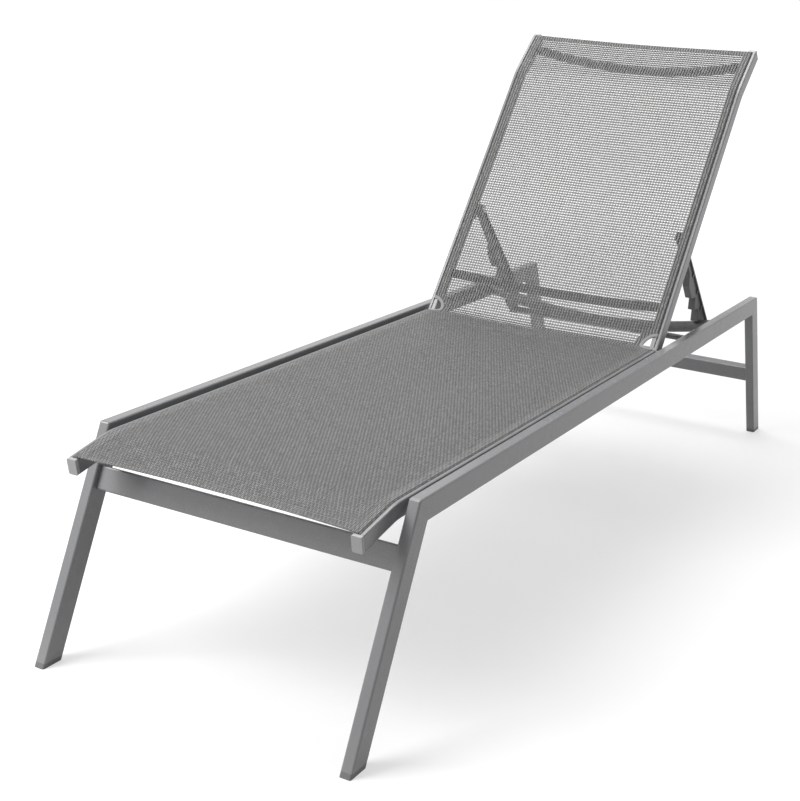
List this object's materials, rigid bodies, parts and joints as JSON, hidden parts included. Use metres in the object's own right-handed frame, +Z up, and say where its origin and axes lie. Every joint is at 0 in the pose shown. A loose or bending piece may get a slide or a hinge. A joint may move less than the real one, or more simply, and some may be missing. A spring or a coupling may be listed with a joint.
{
  "type": "sun lounger",
  "caption": "Reclining sun lounger: splayed rectangular-tube side frames, a taut sling seat that droops at the foot end, and a hinged sling backrest held by toothed support arms.",
  "frame": {"origin": "on the floor, below the middle of the lounger", "axes": "+X to the right seen from the foot end, +Y toward the head end, +Z up"},
  "size_m": [0.6, 2, 0.9549],
  "materials": {
    "frame": "fine satin grey powder coat on aluminium tube",
    "sling_rail": "fine satin grey powder coat on aluminium extrusion",
    "dark_tube": "dark grey satin powder coat on aluminium tube",
    "foot_caps": "moulded grey plastic",
    "end_caps": "moulded light grey plastic",
    "dark_plastic": "moulded dark grey plastic",
    "arm_plastic": "moulded dark grey reinforced plastic, fine grain",
    "fasteners": "plain stainless steel, turned",
    "rods": "extruded plastic rod",
    "sling": "open woven grey and taupe mesh of coated yarn"
  },
  "bodies": {
    "frame": {"left_side_rail": "frame", "right_side_rail": "frame", "left_front_leg": "frame", "right_front_leg": "frame", "left_rear_leg": "frame", "right_rear_leg": "frame", "foot_cap_front_left": "foot_caps", "foot_cap_front_right": "foot_caps", "foot_cap_rear_left": "foot_caps", "foot_cap_rear_right": "foot_caps", "front_brace": "frame", "rear_brace": "frame", "catch_tube": "dark_tube", "left_seat_rail": "sling_rail", "right_seat_rail": "sling_rail", "seat_spacers": "dark_plastic", "seat_screws": "fasteners", "seat_front_caps": "end_caps", "seat_rear_caps": "dark_plastic", "seat_cross_tube": "frame", "seat_rods": "rods", "seat_sling": "sling", "hinge_bolts": "fasteners", "hinge_washers": "fasteners", "hinge_spacers": "dark_plastic", "hinge_nuts": "fasteners"},
    "backrest": {"left_back_rail": "sling_rail", "right_back_rail": "sling_rail", "lower_back_tube": "dark_tube", "top_back_tube": "dark_tube", "back_top_caps": "end_caps", "back_rods": "rods", "back_sling": "sling", "arm_brackets": "dark_tube", "bracket_rivets": "fasteners", "arm_pins": "fasteners", "arm_washers": "fasteners", "hinge_bushes": "dark_plastic"},
    "arms": {"left_arm": "arm_plastic", "right_arm": "arm_plastic", "arm_bar": "dark_tube"}
  },
  "joints": [
    {"name": "back_recline", "type": "hinge", "parent": "frame", "child": "backrest", "pos_m": [0, 0.234, 0.355], "axis": [1, 0, 0], "range_deg": [-49.2, 0]},
    {"name": "arm_swing", "type": "hinge", "parent": "backrest", "child": "arms", "pos_m": [0, 0.39503, 0.57421], "axis": [1, 0, 0], "range_deg": [0, 92.74]}
  ],
  "couplings": [
    {"joint": "arm_swing", "follows": "back_recline", "ratio": -1.885}
  ]
}
